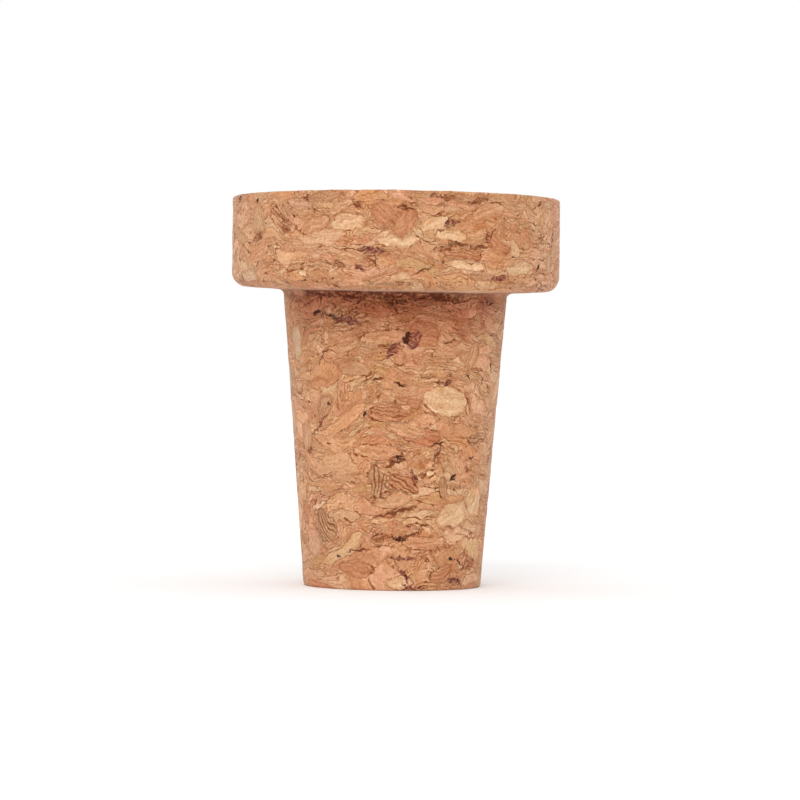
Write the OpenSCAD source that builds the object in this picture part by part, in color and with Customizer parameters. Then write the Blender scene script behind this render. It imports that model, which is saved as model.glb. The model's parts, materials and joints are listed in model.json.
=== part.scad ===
// Cork stopper: a wide flat head and a tapered shank, turned from one block
// of pressed cork granules. It stands on the shank's foot with its axis along
// +Z and the origin at the centre of the foot. Sizes are in millimetres.

/* [Head] */
// Diameter of the head
head_d = 45; // [38:0.5:60]
// Thickness of the head
head_h = 12.2; // [6:0.1:30]
// Radius of the head's top edge
head_top_round = 0.3; // [0.2:0.1:2]
// Radius of the head's lower edge
head_base_round = 2; // [0.4:0.1:2.5]

/* [Shank] */
// Length of the shank below the head
shank_len = 41; // [20:0.5:70]
// Diameter of the shank where it meets the head
shank_top_d = 30.8; // [16:0.1:34]
// Diameter of the shank at its foot
shank_foot_d = 24.3; // [12:0.1:34]
// Radius of the fillet between the shank and the head's underside
neck_fillet = 0.8; // [0.2:0.1:2]
// Radius of the foot's edge
foot_round = 0.4; // [0.2:0.1:2]

/* [Hidden] */
$fn = 128;

total_h = shank_len + head_h;
// Two rounded corners never take up more than this share of the flat between them
most_rounded = 0.9;
ledge_w = (head_d - shank_top_d) / 2;
corner_limit = most_rounded * min(ledge_w, head_h) / 2;

// The half section's corners as [radius, height, corner radius], from the
// centre of the foot round to the centre of the top face
corners = [
    [0, 0, 0],
    [shank_foot_d / 2, 0, foot_round],
    [shank_top_d / 2, shank_len, min(neck_fillet, corner_limit)],
    [head_d / 2, shank_len, min(head_base_round, corner_limit)],
    [head_d / 2, total_h, min(head_top_round, corner_limit)],
    [0, total_h, 0]
];
// The one corner that turns inwards: its arc is cut away, the others are filled
neck = 2;

function point(i) = [corners[i][0], corners[i][1]];
function round_r(i) = corners[i][2];
function unit(v) = v / norm(v);
function to_last(i) = unit(point(i - 1) - point(i));
function to_next(i) = unit(point(i + 1) - point(i));
function half_angle(i) = acos(to_last(i) * to_next(i)) / 2;
function tangent_len(i) = round_r(i) / tan(half_angle(i));
function arc_centre(i) =
    point(i) + unit(to_last(i) + to_next(i)) * round_r(i) / sin(half_angle(i));
// Where a corner's arc starts and ends, or the corner itself if it is sharp
function arc_ends(i) = round_r(i) == 0
    ? [point(i)]
    : [for (side = [to_last(i), to_next(i)]) point(i) + side * tangent_len(i)];

module corner_disc(i) {
    translate(arc_centre(i)) circle(r = round_r(i));
}

// Half of the stopper's lengthwise section, every corner rounded by a true arc
module half_section() {
    difference() {
        union() {
            polygon([for (i = [0 : len(corners) - 1]) each arc_ends(i)]);
            for (i = [1 : len(corners) - 2]) if (i != neck) corner_disc(i);
        }
        corner_disc(neck);
    }
}

module stopper() {
    color("#CB946E") rotate_extrude() half_section();
}

stopper();
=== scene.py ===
"""Looks of the cork stopper: its body of pressed cork granules, a pale floor, soft light and the camera.

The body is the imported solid's own half section turned into a fine mesh. One set of functions describes the
pressed cork as fields over the place in the block, in millimetres. With them a geometry tree presses the
gaps and pits between granules into the mesh, and the material makes its colour, bump and gloss from them.
"""

import json
import math
from collections import namedtuple

import bpy
import numpy as np
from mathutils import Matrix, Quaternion, Vector


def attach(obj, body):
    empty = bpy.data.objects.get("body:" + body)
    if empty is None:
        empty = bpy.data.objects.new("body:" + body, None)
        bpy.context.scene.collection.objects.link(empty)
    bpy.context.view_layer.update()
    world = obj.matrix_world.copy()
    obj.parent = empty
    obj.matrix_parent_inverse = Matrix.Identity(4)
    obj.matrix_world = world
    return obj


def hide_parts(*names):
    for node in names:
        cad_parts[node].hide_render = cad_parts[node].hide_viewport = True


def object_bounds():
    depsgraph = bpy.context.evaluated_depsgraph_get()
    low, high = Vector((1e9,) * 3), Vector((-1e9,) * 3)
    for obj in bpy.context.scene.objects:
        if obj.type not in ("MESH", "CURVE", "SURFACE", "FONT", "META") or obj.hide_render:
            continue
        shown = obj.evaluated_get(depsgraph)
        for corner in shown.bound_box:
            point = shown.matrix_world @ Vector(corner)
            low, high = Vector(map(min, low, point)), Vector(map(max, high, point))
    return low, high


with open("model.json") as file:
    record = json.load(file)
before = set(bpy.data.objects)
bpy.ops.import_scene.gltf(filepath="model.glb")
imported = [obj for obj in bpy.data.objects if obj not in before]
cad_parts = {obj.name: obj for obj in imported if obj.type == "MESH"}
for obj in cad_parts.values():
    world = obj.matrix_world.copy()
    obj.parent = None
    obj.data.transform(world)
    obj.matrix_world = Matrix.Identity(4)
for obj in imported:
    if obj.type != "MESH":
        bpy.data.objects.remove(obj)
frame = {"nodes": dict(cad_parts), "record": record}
cad_low, cad_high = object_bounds()

MM = 0.001
PIECE = "cork_body"
MOUNTS = {m["name"]: m["pos_m"] for m in frame["record"]["mounts"]}
LEDGE_HEIGHT = MOUNTS["head_ledge"][2] / MM
PLACE = "place"  # the attribute that keeps each point's place in the uncut block, in mm
HALF, ONE, UP = (0.5, 0.5, 0.5), (1.0, 1.0, 1.0), (0.0, 0.0, 1.0)


# ---------------------------------------------------------------- fields

class Field:
    """One output of a node. Arithmetic on it adds the nodes for it to the same tree."""

    def __init__(self, socket):
        self.socket = socket

    @property
    def tree(self):
        return self.socket.id_data

    @property
    def is_vector(self):
        return self.socket.type in ("VECTOR", "RGBA")

    def __add__(self, other):
        return calculate("ADD", self, other)

    def __sub__(self, other):
        return calculate("SUBTRACT", self, other)

    def __rsub__(self, other):
        return calculate("SUBTRACT", other, self)

    def __mul__(self, other):
        return calculate("MULTIPLY", self, other)

    def __truediv__(self, other):
        return calculate("DIVIDE", self, other)

    def __abs__(self):
        return calculate("ABSOLUTE", self)

    __radd__ = __add__


def feed(socket, value):
    """Gives an input a field, or a constant."""
    if isinstance(value, Field):
        socket.id_data.links.new(value.socket, socket)
    elif isinstance(value, (int, float)) and socket.type == "VECTOR":
        socket.default_value = (value, value, value)
    elif socket.type == "RGBA":
        socket.default_value = (*value[:3], 1)
    else:
        socket.default_value = value


def node(tree, kind, inputs=(), **settings):
    """A new node, with its inputs by name or number and its settings by name."""
    made = tree.nodes.new(kind)
    for name, value in settings.items():
        setattr(made, name, value)
    for key, value in dict(inputs).items():
        feed(made.inputs[key], value)
    return made


def has_vector(values):
    return any(isinstance(v, tuple) or getattr(v, "is_vector", False) for v in values)


def calculate(operation, *values):
    """A maths node on fields and constants, or a vector maths node if one of them is a vector."""
    tree = next(v.tree for v in values if isinstance(v, Field))
    kind = "ShaderNodeVectorMath" if has_vector(values) else "ShaderNodeMath"
    return Field(node(tree, kind, enumerate(values), operation=operation).outputs[0])


def dot(a, b):
    made = node(a.tree, "ShaderNodeVectorMath", {0: a, 1: b}, operation="DOT_PRODUCT")
    return Field(made.outputs["Value"])


def length(vector):
    made = node(vector.tree, "ShaderNodeVectorMath", {0: vector}, operation="LENGTH")
    return Field(made.outputs["Value"])


def unit(vector):
    return calculate("NORMALIZE", vector)


def root(value):
    return calculate("SQRT", value)


def parts(vector):
    """The three numbers of a vector or colour."""
    split = node(vector.tree, "ShaderNodeSeparateXYZ", {0: vector})
    return [Field(out) for out in split.outputs]


def fade(value, start, end):
    """0 up to start, 1 from end on, with a soft step between. It falls where start is above end."""
    inputs = {"Value": value, "From Min": start, "From Max": end}
    made = node(value.tree, "ShaderNodeMapRange", inputs, interpolation_type="SMOOTHSTEP")
    return Field(made.outputs["Result"])


def either(factor, a, b):
    """a where the factor is 0 and b where it is 1, of numbers, vectors or colours."""
    if has_vector((a, b)):
        made = node(factor.tree, "ShaderNodeMix", {0: factor, 6: a, 7: b}, data_type="RGBA")
        return Field(made.outputs[2])
    return Field(node(factor.tree, "ShaderNodeMix", {0: factor, 2: a, 3: b}, data_type="FLOAT").outputs[0])


def smaller(a, b):
    return calculate("MINIMUM", a, b)


def larger(a, b):
    return calculate("MAXIMUM", a, b)


def clamp(value):
    return smaller(larger(value, 0.0), 1.0)


def below(value, limit):
    return calculate("LESS_THAN", value, limit)


def fraction(value):
    return calculate("FRACT", value)


def seeded(place, seed):
    """The same field read somewhere else, so that two patterns don't line up."""
    return place + (17.3 * seed, -29.1 * seed, 11.7 * seed)


def noise(place, per_mm, seed, detail=2.0, rough=0.5):
    """A cloudy number about 0.5."""
    inputs = {"Vector": seeded(place, seed), "Scale": per_mm, "Detail": detail, "Roughness": rough}
    return Field(node(place.tree, "ShaderNodeTexNoise", inputs, noise_dimensions="3D").outputs[0])


def cloudy(place, per_mm, seed, detail=2.0, rough=0.5):
    """A cloudy number about 0."""
    return noise(place, per_mm, seed, detail, rough) - 0.5


def sway(place, per_mm, seed, detail=2.0):
    """A cloudy vector about 0, up to about half a unit long."""
    inputs = {"Vector": seeded(place, seed), "Scale": per_mm, "Detail": detail}
    made = node(place.tree, "ShaderNodeTexNoise", inputs, noise_dimensions="3D")
    return Field(made.outputs[1]) - HALF


def reroll(dice, seed):
    """Three more random numbers for a granule that has three."""
    made = node(dice.tree, "ShaderNodeTexWhiteNoise", {"Vector": dice, "W": seed}, noise_dimensions="4D")
    return Field(made.outputs["Color"])


def kept(tree, name):
    """A vector that the mesh keeps at each of its points."""
    if tree.bl_idname == "GeometryNodeTree":
        made = node(tree, "GeometryNodeInputNamedAttribute", {"Name": name}, data_type="FLOAT_VECTOR")
        return Field(made.outputs["Attribute"])
    return Field(node(tree, "ShaderNodeAttribute", attribute_name=name).outputs["Vector"])


# ---------------------------------------------------------------- pressed cork

# What granules of one sort give: three random numbers each, the distance in mm to the nearest side, and how
# flat that side lies, from 0 upright to 1 level
Granules = namedtuple("Granules", "dice edge level")


def voronoi(place, feature):
    """The cell that a place lies in, or the next one, of cells about a unit across."""
    inputs = {"Vector": place, "Scale": 1.0, "Randomness": 1.0}
    return node(place.tree, "ShaderNodeTexVoronoi", inputs, voronoi_dimensions="3D", feature=feature)


def granules(place, size, seed, snug=1.0):
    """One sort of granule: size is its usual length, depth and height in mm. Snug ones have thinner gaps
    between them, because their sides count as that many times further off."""
    scaled = seeded(place, seed) / size
    nearest = voronoi(scaled, "F1")
    second = voronoi(scaled, "F2")
    here, there = Field(nearest.outputs["Position"]), Field(second.outputs["Position"])
    across = there - here
    slope = across / size
    steepness = length(slope)
    edge = dot((here + there) * 0.5 - scaled, across) / steepness * snug
    level = abs(parts(slope)[2]) / steepness
    return Granules(Field(nearest.outputs["Color"]), edge, level)


def inside(mask, outer, inner):
    """Granules of the inner sort where the mask is 1, with their sides, among those of the outer sort."""
    closer = below(inner.edge, outer.edge)
    level = either(closer, outer.level, inner.level)
    edge = smaller(inner.edge, outer.edge)
    return Granules(
        either(mask, outer.dice, inner.dice),
        either(mask, outer.edge, edge),
        either(mask, outer.level, level),
    )


# The usual length, depth and height in mm of each sort
FLAKE_SIZE = (5.4, 5.4, 2.1)
CHIP_SIZE = (3.0, 3.0, 1.2)
SLIVER_SIZE = (3.6, 3.6, 0.6)
CRUMB_SIZE = (1.2, 1.2, 0.8)

# The share of flakes that stay whole, of broken ones not split into slivers, and of chips that stay whole
WHOLE_FLAKES, UNSPLIT_FLAKES, WHOLE_CHIPS = 0.46, 0.68, 0.64

# How far the press bends the block, in mm each way, in waves of three lengths
BROAD_BEND, MIDDLE_BEND, FINE_BEND = (3.0, 3.0, 11.0), (3.2, 3.2, 2.4), (0.9, 0.9, 0.7)

Cork = namedtuple("Cork", "place bent dice edge level")


def press(place):
    """The block: big flakes, with chips, slivers and crumbs between them, all bent as the press left it."""
    broad = sway(place, 0.085, 1, 1.0) * BROAD_BEND
    middle = sway(place, 0.33, 2) * MIDDLE_BEND
    fine = sway(place, 1.4, 3, 4.0) * FINE_BEND
    bent = place + broad + middle + fine
    flakes = granules(bent, FLAKE_SIZE, 4)
    chips = granules(bent, CHIP_SIZE, 5, snug=1.3)
    slivers = granules(bent, SLIVER_SIZE, 16, snug=1.8)
    crumbs = granules(bent, CRUMB_SIZE, 6, snug=1.8)
    lot, other, _ = parts(flakes.dice)
    part = parts(chips.dice)[0]
    broken = below(WHOLE_FLAKES, lot)
    crumbled = below(WHOLE_CHIPS, part)
    layered = below(UNSPLIT_FLAKES, other)
    mixed = inside(crumbled, chips, crumbs)
    filling = inside(layered, mixed, slivers)
    packed = inside(broken, flakes, filling)
    return Cork(place, bent, packed.dice, packed.edge, packed.level)


# Fine streaks run along the growth layers: how much detail they have, and how rough it is
STREAK_DETAIL, STREAK_ROUGH = 4.0, 0.72
STREAK_RUN, STREAK_STACK = 0.4, 3.6  # streaks to a mm: along the layers, and how many more across them
FLOW = (0.35, 0.35, 3.0)  # those of the whole block, to a mm along, back and up
OWN_SHARE, FLOW_SHARE = 0.55, 0.45  # of a granule's own streaks and of the block's
LEAST_SPACING, MORE_SPACING = 0.36, 0.35  # mm between growth lines, and how much more some granules have

Grain = namedtuple("Grain", "streaks lines")


def grain(cork):
    """The growth layers that each granule shows, in its own direction."""
    turn = reroll(cork.dice, 1.0) - HALF
    upright_roll, spacing_roll, lines_roll = parts(reroll(cork.dice, 2.0))
    upright = 0.2 + fade(upright_roll, 0.05, 0.6) * 3.6
    axis = unit(turn * 2.0 + upright * UP)
    layer = dot(cork.bent, axis) + cork.edge * 0.4
    stretched = cork.bent * STREAK_RUN + axis * (layer * STREAK_STACK)
    own = noise(stretched, 1.0, 7, STREAK_DETAIL, STREAK_ROUGH)
    flow = noise(cork.bent * FLOW, 1.0, 17, STREAK_DETAIL, STREAK_ROUGH)
    streaks = own * OWN_SHARE + flow * FLOW_SHARE - 0.5
    spacing = LEAST_SPACING + spacing_roll * MORE_SPACING
    phase = layer / spacing + noise(cork.bent, 0.45, 8, 1.0) * 2.4 + spacing_roll * 9.0
    stroke = fade(abs(fraction(phase) - 0.5), 0.17, 0.04)
    unbroken = fade(noise(cork.bent, 0.7, 9), 0.38, 0.56)
    lines = stroke * unbroken * fade(lines_roll, 0.1, 0.85)
    return Grain(streaks, lines)


GAP_WIDTH, LOOSE_WIDTH, ACCENT_WIDTH = 0.055, 0.05, 0.03  # mm: half a gap's width, and what may come on top

Gaps = namedtuple("Gaps", "lines pits rims shadow")


def gaps(cork, flake):
    """Where granules part: thin dark lines, open pits, pale highlights painted on the lips beside them, and
    a broad painted shadow where the line itself is faint. A marked flake's own rim adds to how loose they
    lie, or takes away from it."""
    looseness = noise(cork.bent, 0.5, 10, 3.0)
    beside_mark = fade(abs(flake.inward), 0.35, 0.25)
    looseness = looseness + beside_mark * (flake.rim * 0.16 - 0.02)
    accent = fade(noise(cork.bent, 0.9, 34), 0.50, 0.62)
    width = GAP_WIDTH + fade(looseness, 0.50, 0.70) * LOOSE_WIDTH + accent * ACCENT_WIDTH
    strength = fade(looseness, 0.43, 0.58) * (0.45 + accent * 0.55) * (0.25 + cork.level * 0.75)
    lines = fade(cork.edge / width, 1.3, 0.5) * strength
    pitted = noise(cork.place, 0.7, 11)
    pits = fade(cork.edge, 0.15, 0.04) * fade(pitted, 0.73, 0.75)
    # Painted highlights on the lips beside the gaps
    rims = fade(cork.edge, 0.06, 0.14) * fade(cork.edge, 0.36, 0.14) * fade(looseness, 0.46, 0.62)
    # Painted shadow beside the faint lines
    shadow = fade(cork.edge, 0.40, 0.0) * fade(looseness, 0.60, 0.42)
    return Gaps(lines, pits, rims, shadow)


# ---------------------------------------------------------------- marks

# Flakes and flaws that stand out on this stopper's side. Azimuth is in degrees, 0 at the front and 90 at the
# right, and height is in mm above the foot. Length and width are in mm, along the mark and across it, and
# tilt is how far its right end is turned up, in degrees. Where two marks of a list meet, the first shows.
#
# A flake's stripes are how strong its growth lines are, from 0 to 1. Its rim is how clearly its outline
# shows: 1 draws it dark, 0 leaves it like other granules' sides, and below 0 it fades away.
#
# A flaw's bend is how much its middle arches up, in mm for a mm of length squared. Its depth is in mm, and
# from SOLID_DEPTH on its colour covers it all instead of mottling it.
Flake = namedtuple("Flake", "azimuth height length width tilt colour stripes rim")
Flaw = namedtuple("Flaw", "azimuth height length width tilt bend depth colour")
SOLID_DEPTH = 0.20

PALE, TAN, RUST, PINK, BROWN = "#D7AA80", "#C68D65", "#BA7952", "#C79473", "#B4835C"
PURPLE, UMBER, SOOT, OLIVE = "#7C4036", "#8F4F2E", "#5A2A14", "#B18158"
# DUN_AND_SHEEN and ASH_AND_SHEEN are the cork's paler, greyer tones; their flakes near the sides also paint
# the sheen there
DUN_AND_SHEEN, CLAY, AMBER, ASH_AND_SHEEN = "#BF9169", "#B5805B", "#D29A70", "#CBA682"

FLAKES = [
    # on the head
    Flake(-4, 50.0, 3.8, 2.2, -30, RUST, 0.3, -0.8),
    Flake(3, 48.9, 4.0, 2.4, 50, RUST, 0.2, -0.8),
    Flake(1, 46.6, 5.6, 1.5, -4, PALE, 0.1, 0.2),
    Flake(13, 49.0, 4.2, 1.8, 22, PALE, 0.1, 0.5),
    Flake(19, 47.3, 4.6, 1.6, -6, PALE, 0.1, 0.5),
    Flake(24, 43.5, 6.0, 1.2, -6, PALE, 0.0, 0.2),
    Flake(23, 44.9, 6.0, 1.5, -4, RUST, 0.6, 0.8),
    Flake(-36, 43.0, 2.9, 1.0, 10, OLIVE, 0.0, 1.0),
    Flake(-54, 45.2, 3.8, 2.7, 30, TAN, 0.2, 0.3),
    Flake(-33, 42.1, 1.7, 0.9, -10, PALE, 0.0, 0.3),
    Flake(-16, 49.0, 4.4, 2.2, 10, PALE, 0.2, 0.2),
    Flake(-42, 49.2, 4.8, 2.5, -30, TAN, 0.8, 0.8),
    Flake(-28, 48.6, 4.6, 1.8, 28, TAN, 0.2, 0.0),
    Flake(33, 50.6, 5.4, 2.1, 14, TAN, 0.2, 0.4),
    Flake(-35, 51.3, 4.4, 1.4, -4, PINK, 0.1, -0.3),
    Flake(40, 41.6, 4.0, 1.1, -4, RUST, 0.4, 0.3),
    # Near the left side, these pale greyish flakes partly paint sheen
    Flake(-62, 41.9, 4.4, 2.0, -4, ASH_AND_SHEEN, 0.1, -0.6),
    Flake(-59, 44.0, 3.6, 2.2, 70, DUN_AND_SHEEN, 0.2, -0.3),
    Flake(-55, 49.5, 4.4, 2.6, -70, DUN_AND_SHEEN, 0.2, -0.3),
    Flake(-24, 52.3, 5.0, 1.3, 0, CLAY, 0.3, -0.3),
    Flake(-5, 44.0, 3.6, 1.2, 0, AMBER, 0.1, -0.3),
    Flake(24, 52.3, 5.5, 1.3, 2, CLAY, 0.3, -0.3),
    Flake(31, 41.9, 4.0, 1.2, 0, CLAY, 0.2, -0.3),
    Flake(37, 46.3, 4.6, 2.0, -30, RUST, 0.3, -0.3),
    # Near the right side, these dun flakes partly paint sheen
    Flake(67, 44.5, 3.4, 2.0, 80, DUN_AND_SHEEN, 0.3, 0.1),
    Flake(66, 52.2, 4.5, 1.6, 0, DUN_AND_SHEEN, 0.2, -0.3),
    # on the shank
    Flake(30, 25.5, 7.0, 4.0, -6, PALE, 0.1, 0.3),
    Flake(-3, 23.8, 5.8, 2.4, -2, RUST, 0.7, 0.3),
    Flake(8, 25.2, 4.0, 1.6, -8, RUST, 0.4, -0.3),
    Flake(7, 21.8, 5.2, 2.2, -10, AMBER, 0.4, 0.0),
    Flake(-9, 18.6, 7.0, 2.0, -3, TAN, 0.3, 1.0),
    Flake(-9, 14.5, 4.6, 1.9, -84, BROWN, 1.0, 0.8),
    Flake(6, 14.5, 4.0, 2.3, -24, RUST, 1.0, 0.8),
    Flake(16, 20.8, 5.4, 2.3, -4, RUST, 0.4, 0.2),
    Flake(21, 16.0, 1.0, 0.9, 0, PALE, 0.0, 0.4),
    Flake(31, 13.8, 2.8, 1.5, -80, BROWN, 0.5, 0.3),
    Flake(-46, 8.6, 5.0, 3.4, -48, BROWN, 1.0, 0.7),
    Flake(-57, 6.2, 4.0, 3.0, -60, PINK, 0.0, 0.2),
    Flake(38, 10.1, 5.2, 3.2, 30, PALE, 0.0, -0.5),
    Flake(5, 1.0, 3.5, 2.0, 4, PALE, 0.0, 0.3),
    Flake(33, 2.2, 4.0, 2.2, 24, RUST, 0.4, 0.4),
    Flake(20, 6.4, 6.2, 2.0, -2, TAN, 0.3, 1.0),
    Flake(-23, 3.0, 5.0, 2.2, -10, RUST, 0.3, 0.1),
    Flake(-22, 29.7, 5.0, 1.9, -12, CLAY, 0.1, 0.1),
    Flake(-18, 32.1, 4.2, 1.5, 5, CLAY, 0.2, -0.3),
    Flake(-42, 24.5, 4.0, 2.2, 60, CLAY, 0.3, -0.3),
    # Near the left side, these pale greyish flakes partly paint sheen
    Flake(-58, 20.6, 4.2, 2.4, 80, DUN_AND_SHEEN, 0.1, -0.3),
    Flake(-77, 23.0, 4.4, 2.4, 88, DUN_AND_SHEEN, 0.1, -0.3),
    Flake(-64, 33.4, 5.2, 3.0, 85, ASH_AND_SHEEN, 0.2, -0.6),
    Flake(15, 34.6, 4.8, 3.4, 0, RUST, 0.3, -0.5),
    Flake(22, 2.0, 2.8, 1.6, 0, AMBER, 0.0, -0.3),
    Flake(76, 27.0, 4.6, 2.0, 50, PALE, 0.3, -0.5),
    # Near the right and left sides, these dun flakes partly paint sheen
    Flake(81, 16.5, 6.0, 2.6, 15, DUN_AND_SHEEN, 0.3, -0.5),
    Flake(-83, 28.0, 5.0, 2.2, 30, DUN_AND_SHEEN, 0.2, -0.5),
    Flake(46, 31.5, 4.0, 2.2, 70, TAN, 0.3, -0.3),
    Flake(57, 12.0, 4.2, 3.4, 60, PALE, 0.1, -0.8),
    Flake(-5, 34.0, 7.2, 1.9, 5, TAN, 0.3, 1.0),
    Flake(0, 12.2, 5.4, 2.0, 10, TAN, 0.0, 0.6),
    Flake(-36, 37.4, 1.5, 1.1, 80, PALE, 0.0, 1.0),
    Flake(56, 20.4, 4.5, 1.5, 6, BROWN, 0.8, 0.4),
]

FLAWS = [
    # on the head
    Flaw(-8, 45.3, 3.6, 1.0, -3, 0.00, 0.15, PURPLE),
    Flaw(-11, 45.5, 1.2, 0.8, -30, 0.00, 0.25, SOOT),
    Flaw(-13, 51.2, 1.4, 0.9, -30, 0.00, 0.15, UMBER),
    Flaw(3, 50.9, 2.4, 0.4, -8, 0.05, 0.20, UMBER),
    Flaw(13, 52.4, 1.3, 0.6, 10, 0.00, 0.15, PURPLE),
    Flaw(19, 49.0, 2.2, 0.9, 12, 0.00, 0.10, PURPLE),
    Flaw(22, 46.3, 2.6, 0.4, -8, 0.00, 0.20, UMBER),
    Flaw(30, 46.0, 3.2, 0.3, 4, 0.05, 0.20, UMBER),
    Flaw(34, 47.6, 2.2, 0.3, 50, 0.05, 0.20, UMBER),
    Flaw(16, 45.6, 3.2, 0.6, 10, 0.04, 0.12, UMBER),
    Flaw(70, 47.3, 2.4, 0.3, 75, 0.00, 0.25, SOOT),
    Flaw(-56, 52.0, 0.5, 0.5, 0, 0.00, 0.25, SOOT),
    Flaw(-55, 47.2, 2.6, 1.2, 25, 0.00, 0.10, UMBER),
    Flaw(58, 43.6, 1.2, 0.3, 60, 0.00, 0.25, SOOT),
    Flaw(18, 52.4, 2.0, 0.8, 4, 0.05, 0.10, UMBER),
    Flaw(29, 52.0, 3.2, 0.7, 8, 0.00, 0.10, UMBER),
    Flaw(38, 41.9, 3.2, 0.8, 8, 0.00, 0.08, PURPLE),
    Flaw(-12, 42.9, 1.6, 0.8, -20, 0.00, 0.10, PURPLE),
    Flaw(-19, 43.4, 1.8, 0.7, -20, 0.00, 0.12, UMBER),
    Flaw(-7, 43.6, 2.4, 0.3, -50, 0.15, 0.20, UMBER),
    Flaw(9, 42.6, 2.8, 0.3, 22, 0.00, 0.20, UMBER),
    Flaw(-42, 49.6, 3.6, 0.3, -32, 0.00, 0.10, UMBER),
    Flaw(-41, 48.2, 1.8, 0.5, -20, 0.00, 0.10, UMBER),
    Flaw(-70, 52.6, 1.4, 0.7, 0, 0.00, 0.10, SOOT),
    # on the shank
    Flaw(-44, 37.3, 1.3, 0.8, 0, 0.00, 0.30, SOOT),
    Flaw(-35, 36.9, 2.2, 0.3, -15, 0.35, 0.20, SOOT),
    Flaw(-25, 36.2, 4.0, 0.8, -8, 0.06, 0.15, PURPLE),
    Flaw(-27, 36.9, 2.2, 0.3, -25, 0.00, 0.20, SOOT),
    Flaw(6, 33.9, 1.5, 0.8, 70, 0.00, 0.30, SOOT),
    Flaw(10, 33.7, 2.8, 1.6, 60, 0.00, 0.08, PURPLE),
    Flaw(-1, 32.2, 2.2, 1.2, 50, 0.00, 0.08, PURPLE),
    Flaw(30, 33.5, 2.2, 0.3, 14, 0.00, 0.20, UMBER),
    Flaw(65, 30.1, 1.0, 0.4, 80, 0.00, 0.35, SOOT),
    Flaw(44, 28.8, 1.0, 0.4, -30, 0.00, 0.25, SOOT),
    Flaw(45, 40.0, 0.6, 0.4, 0, 0.00, 0.30, SOOT),
    Flaw(4, 27.7, 1.5, 0.3, -10, 0.10, 0.25, SOOT),
    Flaw(-9, 28.5, 1.6, 0.3, 10, 0.10, 0.20, UMBER),
    Flaw(30, 28.0, 1.3, 0.7, 30, 0.00, 0.15, PURPLE),
    Flaw(24, 28.0, 2.4, 0.5, -4, 0.00, 0.12, UMBER),
    Flaw(-41, 31.5, 2.8, 0.3, 50, 0.10, 0.20, UMBER),
    Flaw(-16, 23.7, 0.7, 0.3, 80, 0.00, 0.35, SOOT),
    Flaw(-38, 24.9, 0.8, 0.3, -20, 0.00, 0.25, SOOT),
    Flaw(-40, 19.8, 0.7, 0.3, -10, 0.00, 0.25, SOOT),
    Flaw(-45, 22.3, 3.6, 0.3, 45, 0.00, 0.20, UMBER),
    Flaw(-56, 18.7, 1.4, 1.0, 0, 0.00, 0.10, UMBER),
    Flaw(67, 24.0, 1.2, 0.6, 40, 0.00, 0.10, UMBER),
    Flaw(3, 18.0, 1.2, 0.3, 5, 0.00, 0.35, SOOT),
    Flaw(0, 17.0, 3.4, 0.4, 16, 0.00, 0.20, UMBER),
    Flaw(12, 15.5, 2.2, 0.6, -65, 0.00, 0.10, PURPLE),
    Flaw(25, 18.2, 2.4, 0.3, 60, 0.15, 0.20, UMBER),
    Flaw(51, 17.9, 1.2, 0.3, 25, 0.00, 0.35, SOOT),
    Flaw(37, 15.2, 1.1, 0.4, 20, 0.00, 0.35, SOOT),
    Flaw(2, 10.6, 6.0, 0.5, 14, 0.00, 0.20, UMBER),
    Flaw(17, 9.0, 3.2, 0.3, -6, 0.06, 0.20, UMBER),
    Flaw(4, 7.0, 1.1, 0.6, 0, 0.00, 0.30, SOOT),
    Flaw(-7, 7.2, 2.4, 1.0, 10, 0.00, 0.08, UMBER),
    Flaw(11, 7.5, 3.2, 0.3, 22, 0.00, 0.20, UMBER),
    Flaw(5, 4.4, 3.8, 0.4, 0, 0.00, 0.10, PURPLE),
    Flaw(-21, 5.4, 3.2, 0.3, 6, 0.04, 0.20, UMBER),
    Flaw(37, 8.5, 1.6, 0.5, -5, 0.00, 0.10, UMBER),
    Flaw(9, 1.9, 2.2, 0.6, -60, 0.25, 0.12, PURPLE),
    Flaw(44, 1.3, 3.0, 0.7, -15, 0.12, 0.10, PURPLE),
    Flaw(13, 0.3, 2.8, 0.6, 0, 0.00, 0.08, PURPLE),
    Flaw(58, 3.4, 2.6, 1.4, 20, 0.00, 0.08, UMBER),
    Flaw(39, 4.3, 0.6, 0.3, -10, 0.00, 0.25, SOOT),
    Flaw(46, 3.9, 0.8, 0.3, -30, 0.00, 0.25, SOOT),
    Flaw(-35, 4.5, 0.8, 0.3, -10, 0.00, 0.25, SOOT),
    Flaw(-53, 11.6, 0.6, 0.4, 0, 0.00, 0.25, SOOT),
    Flaw(26, 19.8, 1.8, 0.3, 20, 0.00, 0.20, SOOT),
    Flaw(58, 38.6, 1.2, 0.4, 30, 0.00, 0.20, SOOT),
]

MIRRORED_WITHIN = 55  # degrees either side of the front: the marks there are also laid behind


def front_and_back(marks):
    """The marks, and those of the front's middle again behind, upside down: the back has its share too."""
    top = cad_high[2] / MM
    behind = []
    for mark in marks:
        low, high = (0.0, LEDGE_HEIGHT) if on_shank(mark) else (LEDGE_HEIGHT, top)
        if abs(mark.azimuth) <= MIRRORED_WITHIN:
            behind.append(mark._replace(azimuth=180 - mark.azimuth, height=low + high - mark.height))
    return marks + behind


def on_shank(mark):
    return mark.height < LEDGE_HEIGHT


MARK_MARGIN = 0.9  # mm beyond a mark's outline, so that the triangles across it know the same mark
ROUNDED_END = 1.0  # mm at either end of the shank that may be rounded, so its radius isn't read there

# What a point far from all marks keeps. Of look, the last number is 1 where the point surely knows its mark.
UNMARKED = {
    "at": (9.0, 9.0, 0.0),
    "size": (1.0, 1.0, 0.0),
    "look": (0.0, 0.0, 0.0),
    "tint": (0.5, 0.3, 0.2),
}


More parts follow.
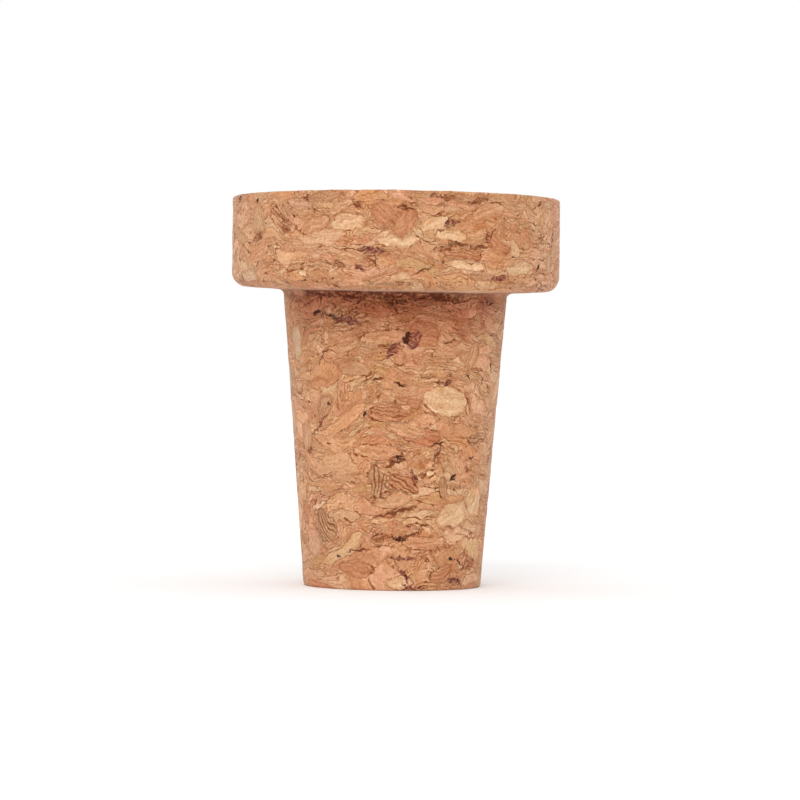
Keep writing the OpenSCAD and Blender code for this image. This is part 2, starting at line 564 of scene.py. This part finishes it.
def off_the_sides(places, outline):
    """How far in mm each point lies from the shank's side and from the head's. Points on a flat face lie
    well away from both, and so a mark doesn't run on across the face."""
    radius, height = (np.array(outline) / MM).T
    shank = (height > ROUNDED_END) & (height < LEDGE_HEIGHT - ROUNDED_END)
    shank_radius = np.interp(places[:, 2], height[shank], radius[shank])
    own_radius = np.hypot(places[:, 0], places[:, 1])
    return abs(own_radius - shank_radius), abs(own_radius - radius.max())


def lay_marks(mesh, outline, layer, marks, amount):
    """Keeps at each point near a mark where it lies on it, along and across, the mark's half sizes, its
    look, which is its amount of what the layer's marks have and then its rim, and its colour."""
    places = np.array([v.co for v in mesh.vertices]) / MM
    azimuth = np.arctan2(places[:, 0], -places[:, 1])
    radius = np.hypot(places[:, 0], places[:, 1])
    off_shank, off_head = off_the_sides(places, outline)
    nearest = np.full(len(places), MARK_MARGIN)
    values = {name: np.tile(blank, (len(places), 1)) for name, blank in UNMARKED.items()}
    for mark in marks:
        tilt = math.radians(mark.tilt)
        turn = azimuth - math.radians(mark.azimuth)
        side = (np.remainder(turn + math.pi, 2 * math.pi) - math.pi) * radius
        rise = places[:, 2] - mark.height
        rise = rise + np.sign(rise) * (off_shank if on_shank(mark) else off_head)
        along = side * math.cos(tilt) + rise * math.sin(tilt)
        across = rise * math.cos(tilt) - side * math.sin(tilt)
        across = across + getattr(mark, "bend", 0) * along ** 2
        half = (mark.length / 2, mark.width / 2, 0)
        out = np.hypot(np.maximum(abs(along) - half[0], 0), np.maximum(abs(across) - half[1], 0))
        near = out < nearest
        nearest[near] = out[near]
        values["at"][near] = np.column_stack((along, across, 0 * along))[near]
        values["size"][near] = half
        values["look"][near] = (getattr(mark, amount), getattr(mark, "rim", 0), 0)
        values["tint"][near] = linear(mark.colour)
    values["look"][:, 2] = nearest < MARK_MARGIN / 2
    for name, rows in values.items():
        keep(mesh, f"{layer}_{name}", rows)


def keep(mesh, name, values):
    """Keeps a vector at each of the mesh's points, for `kept` to read."""
    made = mesh.attributes.new(name, "FLOAT_VECTOR", "POINT")
    made.data.foreach_set("vector", np.asarray(values, np.float32).ravel())


Mark = namedtuple("Mark", "along across amount inward rim tint")


def marked(cork, layer, ragged, per_mm):
    """The nearest mark of a layer, an oval with an outline as ragged as this, in mm. Inward is how far
    inside the outline a place lies, in mm, and -1 away from all marks."""
    tree = cork.place.tree
    wander = parts(sway(cork.place, per_mm, 18, 3.0) * ragged)
    along, across, _ = parts(kept(tree, layer + "_at"))
    half_length, half_width, _ = parts(kept(tree, layer + "_size"))
    amount, rim, sure = parts(kept(tree, layer + "_look"))
    along, across = along + wander[0], across + wander[2]
    lengthwise, widthwise = along / half_length, across / half_width
    reach = root(lengthwise * lengthwise + widthwise * widthwise)
    nibbled = cloudy(cork.place, 1.9, 24, 3.0) * ragged * 0.25
    inward = either(below(0.99, sure), -1.0, (1.0 - reach) * half_width + nibbled)
    return Mark(along, across, amount, inward, rim, kept(tree, layer + "_tint"))


# ---------------------------------------------------------------- what shows

Skin = namedtuple("Skin", "cork fibres gap flake flaw")


def skin_at(place):
    """All that the relief and the colour are made from, at a place in the block."""
    cork = press(place)
    flake = marked(cork, "flake", 2.0, 0.45)
    cork = among(cork, flake)
    flaw = marked(cork, "flaw", 1.3, 1.3)
    return Skin(cork, combed(grain(cork), flake), gaps(cork, flake), flake, flaw)


FLAKE_DICE = (0.4, 0.6, 0.8)  # the random numbers of a marked flake, all middling
FLAKE_LEVEL = 0.85  # how flat its sides count as lying


def among(cork, flake):
    """The cork with the marked flakes as granules of their own."""
    within = below(0.0, flake.inward)
    beside = below(abs(flake.inward), cork.edge)
    edge = either(within, smaller(cork.edge, flake.inward * -1.0), flake.inward)
    dice = either(within, cork.dice, FLAKE_DICE)
    return Cork(cork.place, cork.bent, dice, edge, either(beside, cork.level, FLAKE_LEVEL))


FLAKE_EDGE = (-0.02, 0.02)  # mm inward between which a marked flake takes over from the cork around it


def combed(fibres, flake):
    """The growth layers again, running lengthwise in a marked flake."""
    drift = noise(flake.tint + flake.along * (0.3, 0.2, 0.0), 1.0, 29, 1.0) * 0.8
    run = flake.along * (0.4, 0.0, 0.0) + (flake.across + drift) * (0.0, 2.4, 0.0)
    own = cloudy(run + flake.tint * 30.0, 1.0, 30, STREAK_DETAIL, STREAK_ROUGH)
    covered = fade(flake.inward, *FLAKE_EDGE)
    lines = fibres.lines * (1.0 - covered * (0.8 - flake.amount * 0.5))
    return Grain(either(covered, fibres.streaks, own * (0.7 + flake.amount * 0.4)), lines)


STRIPE_SPACING = 0.52  # mm


def stripes(flake):
    """The growth lines along a marked flake, of uneven strength."""
    waves = noise(flake.tint + flake.along * (0.25, 0.1, 0.0), 1.0, 19) * 2.2
    phase = flake.across / STRIPE_SPACING + waves
    stroke = fade(abs(fraction(phase) - 0.5), 0.28, 0.04)
    stretched = flake.along * (0.5, 0.0, 0.0) + flake.across * (0.0, 1.6, 0.0)
    strength = fade(noise(stretched, 1.0, 31), 0.30, 0.52)
    return stroke * fade(flake.inward, 0.0, 0.12) * flake.amount * strength


# The relief, in mm: how much granules, waves and streaks may lift it, and how deep the others cut
GRANULE_LIFT, WAVE_LIFT, STREAK_LIFT = 0.05, 0.10, 0.15
GAP_DEPTH, LINE_DEPTH, PIT_DEPTH, STRIPE_DEPTH = 0.06, 0.035, 0.30, 0.04
SINK = 0.02  # mm that all of it is lowered by, because the granules only lift


def relief(skin):
    """How far the surface lies above the turned one, in mm."""
    level = parts(reroll(skin.cork.dice, 3.0))[0] * GRANULE_LIFT
    waves = cloudy(skin.cork.place, 0.2, 12, 1.0) * WAVE_LIFT
    cut = skin.gap.lines * GAP_DEPTH + skin.fibres.lines * LINE_DEPTH
    cut = cut + skin.gap.pits * PIT_DEPTH + stripes(skin.flake) * STRIPE_DEPTH
    hollow = fade(skin.flaw.inward, -0.04, 0.16) * skin.flaw.amount
    return level + waves + skin.fibres.streaks * STREAK_LIFT - SINK - cut - hollow


def linear(code):
    """A web colour such as "#C8966E" as linear red, green and blue."""
    values = [int(code[i:i + 2], 16) / 255 for i in (1, 3, 5)]
    return tuple(v / 12.92 if v <= 0.04045 else ((v + 0.055) / 1.055) ** 2.4 for v in values)


# Cork's own tones, from the darkest granules to the palest
TONES = [
    (0.00, "#AD704A"),
    (0.25, "#BD835B"),
    (0.50, "#CA966F"),
    (0.75, "#D5A47E"),
    (1.00, "#E2B68E"),
]

# What a full line, gap and so on multiplies the colour by, in red, green and blue
LINE_SHADE = (0.62, 0.40, 0.24)
GAP_SHADE = (0.38, 0.15, 0.03)
PIT_SHADE = (0.26, 0.10, 0.02)
# The neck's multiplier paints shade under the head; the soot's is partly the cork's dark crumbs and partly
# painted shade
NECK_PAINTED_SHADE = (0.70, 0.51, 0.48)
SOOT_AND_PAINTED_SHADE = (0.31, 0.19, 0.16)
# The rim's multiplier paints highlights on the lips beside the gaps
PAINTED_RIM_HIGHLIGHT = (1.13, 1.22, 1.26)


def tone(value):
    """The tone at a share of the way from the darkest to the palest."""
    made = node(value.tree, "ShaderNodeValToRGB", {0: value})
    stops = made.color_ramp.elements
    while len(stops) < len(TONES):
        stops.new(0.5)
    for stop, (position, code) in zip(stops, TONES):
        stop.position = position
        stop.color = (*linear(code), 1)
    return Field(made.outputs[0])


def shaded(made, amount, shade):
    """A colour darkened or lightened by a shade, by an amount from 0 to 1."""
    return either(amount, made, made * shade)


# The painted shade on the neck under the head, the sooty band, partly the cork's soot and partly painted
# shade
# under the ledge, and the crumbs: where each fades in, in mm below the ledge, and how strongly clouds and
# streaks push that up and down
NECK_FADE, NECK_DRIFT = (9.0, 1.0), 7.0
BAND_FADE, BAND_DRIFT = (1.7, 0.6), 10.0
CRUMB_FADE, CRUMB_DRIFT = (5.0, 0.0), 9.0
SHANK_FADE, LEDGE_BLUR = (17.5, 16.0), 0.5  # mm from the axis and above the ledge over which all of it ends

# All of it, painted shade and soot, is fainter at the flanks, and the soot is fainter on the right: where,
# in mm to the side
FLANK_FADE, RIGHT_FADE = (11.5, 14.8), (7.0, 12.0)


def soot_and_painted_shade_under_head(cork, made):
    """Painted shade under the head, and a sooty band and crumbs there, partly the cork's own and partly
    painted shade.
    """
    x, y, z = parts(cork.place)
    below_ledge = LEDGE_HEIGHT - z
    shank = fade(root(x * x + y * y), *SHANK_FADE) * fade(z, LEDGE_HEIGHT + LEDGE_BLUR, LEDGE_HEIGHT)
    drifting = below_ledge + cloudy(cork.place, 0.25, 25) * NECK_DRIFT
    flanks = fade(abs(x), *FLANK_FADE)
    # Painted shade on the neck, fading out over about 9 mm below the ledge
    made = shaded(made, fade(drifting, *NECK_FADE) * shank * (1.0 - flanks * 0.7), NECK_PAINTED_SHADE)
    wavy = cork.place + sway(cork.place, 0.5, 27, 3.0) * (1.5, 1.5, 2.0)
    streaks = cloudy(wavy * (0.25, 0.25, 0.9), 1.0, 26, 4.0, 0.6)
    mottled = fade(noise(wavy, 1.8, 32, 3.0, 0.6), 0.36, 0.56)
    band = fade(below_ledge + streaks * BAND_DRIFT, *BAND_FADE) * mottled
    near_band = fade(below_ledge + streaks * CRUMB_DRIFT, *CRUMB_FADE)
    crumbs = noise(cork.bent, 2.6, 28, 3.0, 0.6) + near_band * 0.16
    fainter = (1.0 - fade(x, *RIGHT_FADE) * 0.6) * (1.0 - flanks * 0.5)
    # The sooty band and crumbs: partly the cork's own soot, partly painted shade under the ledge
    return shaded(made, either(band, fade(crumbs, 0.66, 0.74), 1.0) * shank * fainter, SOOT_AND_PAINTED_SHADE)


PATCHES_PER_MM = 0.13  # broad patches of a tone or hue lie across many granules
FLAKE_COVER = 0.8  # how far a marked flake's own colour replaces the cork's

# How far a granule's own roll, broad patches and clouds shift it from the middle tone
OWN_TONE, PATCH_TONE, CLOUD_TONE = 0.46, 0.4, 0.34

# What each adds to the red, green and blue, as a share of them
REDDER = (0.35, -0.65, -0.7)
YELLOWER = (-0.06, 0.04, -0.6)
LIGHTER = (0.66, 1.0, 1.38)


def tone_and_hue(cork):
    """The cork's tone as a colour, and what its hue multiplies it by. Each granule has its own of both,
    which show less at its sides, and clouds and broad patches lie over them."""
    tone_roll, red_roll, yellow_roll = parts(reroll(cork.dice, 4.0))
    patch = cloudy(cork.place, PATCHES_PER_MM, 195)
    cloud = cloudy(cork.bent, 0.45, 22)
    own = 0.5 + fade(cork.edge, 0.0, 0.4) * 0.5
    shift = (tone_roll - 0.5) * own
    made = tone(clamp(0.5 + shift * OWN_TONE + patch * PATCH_TONE + cloud * CLOUD_TONE))
    redness = (red_roll - 0.5) * own * 0.21 + cloudy(cork.place, PATCHES_PER_MM, 827) * 0.25
    yellowness = (yellow_roll * yellow_roll - 0.33) * own * 0.22 + cloudy(cork.bent, 0.4, 33) * 0.25
    yellowness = larger(yellowness + cloudy(cork.place, PATCHES_PER_MM, 452) * 0.3, -0.08)
    return made, redness * REDDER + yellowness * YELLOWER + ONE


def stained(cork, flaw, made):
    """Flaws over the colour: mottled where they are shallow, solid where they are deep."""
    mottled = noise(cork.bent * (1.8, 1.8, 3.4), 1.0, 21, 4.0, 0.7)
    worn = larger(fade(mottled, 0.40, 0.54), fade(flaw.amount, SOLID_DEPTH - 0.03, SOLID_DEPTH))
    stain = either(fade(mottled, 0.52, 0.64), flaw.tint, flaw.tint * 0.5)
    return either(fade(flaw.inward, -0.10, 0.08) * (0.15 + worn * 0.85), made, stain)


def colour(skin):
    """Tones, of marked flakes too, with hue and fine light and dark, then what shades them, painted
    highlights and painted shade among it, then flaws.
    """
    made, hue = tone_and_hue(skin.cork)
    speckle = cloudy(skin.cork.place, 3.6, 14, 3.0, 0.6)
    made = either(fade(skin.flake.inward, *FLAKE_EDGE) * FLAKE_COVER, made, skin.flake.tint)
    made = made * hue
    shade = skin.fibres.streaks * 2.1 + speckle * 1.2
    made = made * (shade * LIGHTER + ONE)
    # Painted highlights beside the gaps, then painted shadow beside faint lines
    made = shaded(made, skin.gap.rims * 0.9, PAINTED_RIM_HIGHLIGHT)
    made = shaded(made, skin.gap.shadow * 0.4, LINE_SHADE)
    made = shaded(made, skin.fibres.lines, LINE_SHADE)
    made = shaded(made, stripes(skin.flake) * 0.9, GAP_SHADE)
    made = shaded(made, skin.gap.lines, GAP_SHADE)
    made = shaded(made, skin.gap.pits, PIT_SHADE)
    # Painted shade under the head, with the cork's soot there
    made = soot_and_painted_shade_under_head(skin.cork, made)
    return stained(skin.cork, skin.flaw, made)


# ---------------------------------------------------------------- the body

MESH_STEP = 0.31 * MM  # the distance between neighbouring points of the mesh
DIGITS = 6  # decimals of a metre: rounded to them, all points of a ring have the same radius and height


def half_section(solid, hub_height):
    """The solid's outline as (radius, height), from the centre of its foot round to the centre of its top.
    The hub is inside the head on the axis and sees all of it, so bearings from there put it in order."""
    places = [v.co for v in solid.data.vertices]
    found = {(round(math.hypot(p.x, p.y), DIGITS), round(p.z, DIGITS)) for p in places}
    rim = sorted(found, key=lambda p: math.atan2(p[1] - hub_height, p[0]))
    heights = [height for _, height in rim]
    return [(0.0, min(heights))] + [p for p in rim if p[0] > 0] + [(0.0, max(heights))]


def evenly(outline, step):
    """The outline again, with points about a step apart."""
    made = [outline[0]]
    for (r0, z0), (r1, z1) in zip(outline, outline[1:]):
        count = max(1, round(math.hypot(r1 - r0, z1 - z0) / step))
        made += [(r0 + (r1 - r0) * i / count, z0 + (z1 - z0) * i / count) for i in range(1, count + 1)]
    return made


def stitch(ring, following):
    """Triangles between two rings, each a list of (turn, vertex number) in order of turn."""
    faces = []
    i = j = 0
    while i < len(ring) or j < len(following):
        turn = ring[i + 1][0] if i + 1 < len(ring) else 1 + ring[0][0]
        other = following[j + 1][0] if j + 1 < len(following) else 1 + following[0][0]
        a, b = ring[i % len(ring)][1], following[j % len(following)][1]
        if j >= len(following) or (i < len(ring) and turn <= other):
            i += 1
            if len(ring) > 1:
                faces.append((a, ring[i % len(ring)][1], b))
        else:
            j += 1
            if len(following) > 1:
                faces.append((a, following[j % len(following)][1], b))
    return faces


def revolve(outline, step):
    """The outline turned about Z: points about a step apart all over it, and triangles between them."""
    points, rings = [], []
    for number, (radius, height) in enumerate(outline):
        count = max(1, round(2 * math.pi * radius / step))
        turns = [(k + 0.5 * (number % 2)) / count for k in range(count)]
        rings.append([(turn, len(points) + k) for k, turn in enumerate(turns)])
        for turn in turns:
            angle = 2 * math.pi * turn
            points.append((radius * math.sin(angle), -radius * math.cos(angle), height))
    faces = [f for ring, following in zip(rings, rings[1:]) for f in stitch(ring, following)]
    return points, faces


UNDERSIDE_DROP = 0.2  # mm that the head's underside lies below the turned one, on average
UNDERSIDE_TILT = (0.007, -0.032)  # how much further it drops, in mm for each mm to the right and to the back
UNDERSIDE_DISH = 0.3  # mm that it drops from its rim to the neck
UNDERSIDE_RIM, UNDERSIDE_WIDTH = 20.7, 5.3  # mm from the axis to its rim, and from there in to the neck
HEAD_SHARE, SHANK_SHARE = 9.0, 7.0  # mm above and below the ledge over which the head and shank take this up


def settled(points):
    """The points with the head's underside not quite square to the shank, and a little lower at the neck."""
    x, y, z = (np.array(points) / MM).T
    inward = np.clip((UNDERSIDE_RIM - np.hypot(x, y)) / UNDERSIDE_WIDTH, 0, 1)
    drop = UNDERSIDE_DROP + UNDERSIDE_TILT[0] * x + UNDERSIDE_TILT[1] * y + UNDERSIDE_DISH * inward
    spans = (LEDGE_HEIGHT - SHANK_SHARE, LEDGE_HEIGHT, LEDGE_HEIGHT + HEAD_SHARE)
    return np.column_stack((x, y, z - drop * np.interp(z, spans, (0, 1, 0)))) * MM


def relief_tree():
    """A geometry tree that moves each point along its normal by the relief."""
    tree = bpy.data.node_groups.new("cork_relief", "GeometryNodeTree")
    tree.interface.new_socket("Geometry", in_out="INPUT", socket_type="NodeSocketGeometry")
    tree.interface.new_socket("Geometry", in_out="OUTPUT", socket_type="NodeSocketGeometry")
    start, end = tree.nodes.new("NodeGroupInput"), tree.nodes.new("NodeGroupOutput")
    normal = Field(tree.nodes.new("GeometryNodeInputNormal").outputs[0])
    height = relief(skin_at(kept(tree, PLACE)))
    move = node(tree, "GeometryNodeSetPosition", {"Offset": normal * (height * MM)})
    tree.links.new(start.outputs[0], move.inputs["Geometry"])
    tree.links.new(move.outputs[0], end.inputs[0])
    return tree


def cork_material():
    """Dull cork, whose colour, gloss and bump come from the same fields as the mesh's relief."""
    material = bpy.data.materials.new("pressed_cork")
    material.use_nodes = True
    tree = material.node_tree
    shader = tree.nodes["Principled BSDF"]
    skin = skin_at(kept(tree, PLACE))
    feed(shader.inputs["Base Color"], colour(skin))
    feed(shader.inputs["Roughness"], 0.62 + cloudy(skin.cork.place, 1.2, 15) * 0.3)
    shader.inputs["Specular IOR Level"].default_value = 0.08
    shader.inputs["Sheen Weight"].default_value = 0.20
    shader.inputs["Sheen Roughness"].default_value = 0.3
    bump = node(tree, "ShaderNodeBump", {"Height": relief(skin), "Distance": MM, "Strength": 1.0})
    tree.links.new(bump.outputs[0], shader.inputs["Normal"])
    return material


def cork_body(solid):
    """The stopper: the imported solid's outline turned into a fine mesh, with its relief pressed in."""
    hub_height = (MOUNTS["head_ledge"][2] + MOUNTS["top_face"][2]) / 2
    outline = evenly(half_section(solid, hub_height), MESH_STEP)
    points, faces = revolve(outline, MESH_STEP)
    mesh = bpy.data.meshes.new(PIECE)
    mesh.from_pydata(settled(points), [], faces)
    mesh.shade_smooth()
    keep(mesh, PLACE, np.array(points) / MM)
    lay_marks(mesh, outline, "flake", front_and_back(FLAKES), "stripes")
    lay_marks(mesh, outline, "flaw", front_and_back(FLAWS), "depth")
    body = bpy.data.objects.new(PIECE, mesh)
    bpy.context.scene.collection.objects.link(body)
    pressing = body.modifiers.new("relief", "NODES")
    pressing.node_group = relief_tree()
    bpy.context.view_layer.update()
    depsgraph = bpy.context.evaluated_depsgraph_get()
    body.data = bpy.data.meshes.new_from_object(body.evaluated_get(depsgraph), depsgraph=depsgraph)
    body.modifiers.clear()
    body.data.name = PIECE
    body.data.materials.clear()
    body.data.materials.append(cork_material())
    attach(body, "root")
    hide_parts("stopper")
    return body


# ---------------------------------------------------------------- the studio

def floor(height):
    """A plain white floor."""
    reach = 4.0  # metres each way
    corners = [(x * reach, y * reach, height) for x, y in ((-1, -1), (1, -1), (1, 1), (-1, 1))]
    mesh = bpy.data.meshes.new("floor")
    mesh.from_pydata(corners, [], [(0, 1, 2, 3)])
    made = bpy.data.objects.new("floor", mesh)
    bpy.context.scene.collection.objects.link(made)
    material = bpy.data.materials.new("pale_floor")
    material.use_nodes = True
    shader = material.node_tree.nodes["Principled BSDF"]
    shader.inputs["Base Color"].default_value = (0.95, 0.95, 0.95, 1)
    shader.inputs["Roughness"].default_value = 0.9
    shader.inputs["Specular IOR Level"].default_value = 0.0
    mesh.materials.append(material)


def sky(strength):
    """A white sky, which lights the object evenly from all round."""
    world = bpy.data.worlds.new("studio")
    world.use_nodes = True
    background = world.node_tree.nodes["Background"]
    background.inputs["Color"].default_value = (1, 1, 1, 1)
    background.inputs["Strength"].default_value = strength
    bpy.context.scene.world = world


def sun(name, azimuth, elevation, spread, strength):
    """A wide, far softbox. Azimuth 0 is the camera's side, and 90 is on its right."""
    turn, rise = math.radians(azimuth), math.radians(elevation)
    back = Vector((math.sin(turn) * math.cos(rise), -math.cos(turn) * math.cos(rise), math.sin(rise)))
    lamp = bpy.data.lights.new(name, "SUN")
    lamp.angle = math.radians(spread)
    lamp.energy = strength
    made = bpy.data.objects.new(name, lamp)
    made.rotation_mode = "QUATERNION"
    made.rotation_quaternion = (-back).to_track_quat("-Z", "Y")
    bpy.context.scene.collection.objects.link(made)


CAMERA_DISTANCE = 455 * MM
CAMERA_ELEVATION = 0.3  # degrees
CAMERA_ROLL = 0.7  # degrees, anticlockwise
AIM_RIGHT, AIM_DOWN = 0.8 * MM, 1.05 * MM  # how far from the middle of the object the camera aims
VIEW_WIDTH = 110.2 * MM  # what the picture takes in at the object
SENSOR_WIDTH = 36  # of a full-frame camera, in millimetres as Blender has it


def camera(centre):
    """The camera, in front of the stopper and nearly level with its middle."""
    lens = bpy.data.cameras.new("camera")
    lens.sensor_width = SENSOR_WIDTH
    lens.lens = SENSOR_WIDTH * CAMERA_DISTANCE / VIEW_WIDTH
    lens.clip_start, lens.clip_end = 0.01, 50
    made = bpy.data.objects.new("camera", lens)
    rise = math.radians(CAMERA_ELEVATION)
    back = Vector((0, -math.cos(rise), math.sin(rise)))
    facing = (-back).to_track_quat("-Z", "Y") @ Quaternion((0, 0, 1), math.radians(CAMERA_ROLL))
    aim = centre + facing @ Vector((AIM_RIGHT, -AIM_DOWN, 0))
    made.location = aim + back * CAMERA_DISTANCE
    made.rotation_mode = "QUATERNION"
    made.rotation_quaternion = facing
    bpy.context.scene.collection.objects.link(made)
    bpy.context.scene.camera = made


cork_body(frame["nodes"]["stopper"])
floor(cad_low.z)
sky(1.0)
sun("key", azimuth=-9, elevation=35, spread=40, strength=0.28 * math.pi)
camera((cad_low + cad_high) / 2)
bpy.context.scene.view_settings.view_transform = "Standard"
